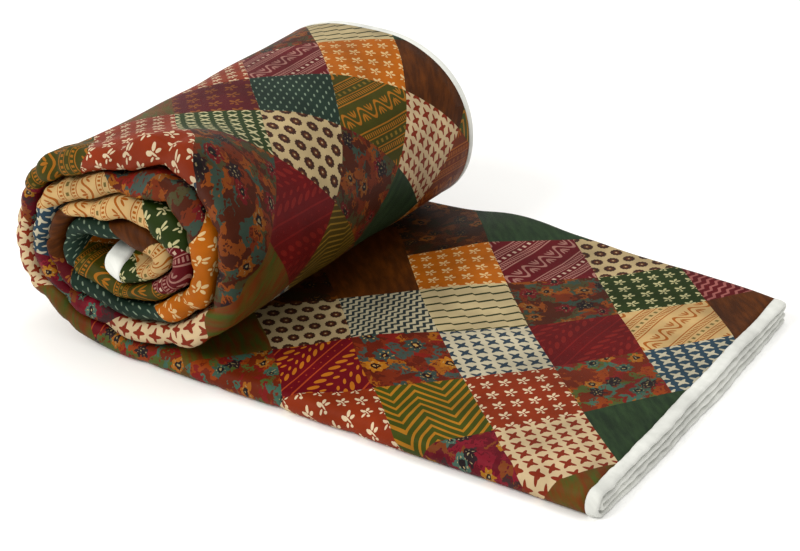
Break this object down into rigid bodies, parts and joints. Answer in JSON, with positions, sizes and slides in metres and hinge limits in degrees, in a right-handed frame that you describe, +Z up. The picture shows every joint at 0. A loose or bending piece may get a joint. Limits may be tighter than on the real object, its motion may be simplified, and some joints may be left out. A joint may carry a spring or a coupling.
{
  "type": "rolled quilt",
  "caption": "Light printed cotton quilt with a white binding, folded lengthwise in layers and rolled up on its own loose end.",
  "frame": {"origin": "on the floor under the middle of the whole rolled quilt", "axes": "+X along the loose end, away from the roll; +Y along the roll, from its near side of nested folds to its far side of bound edges; +Z up"},
  "size_m": [0.617, 0.3952, 0.2278],
  "materials": {
    "printed_cotton": "smooth cotton printed with a patchwork of small prints",
    "white_binding": "plain white cotton"
  },
  "bodies": {
    "root": {"quilt": "printed_cotton", "end_binding": "white_binding", "start_binding": "white_binding", "side_binding_lower": "white_binding", "side_binding_upper": "white_binding"}
  },
  "joints": []
}
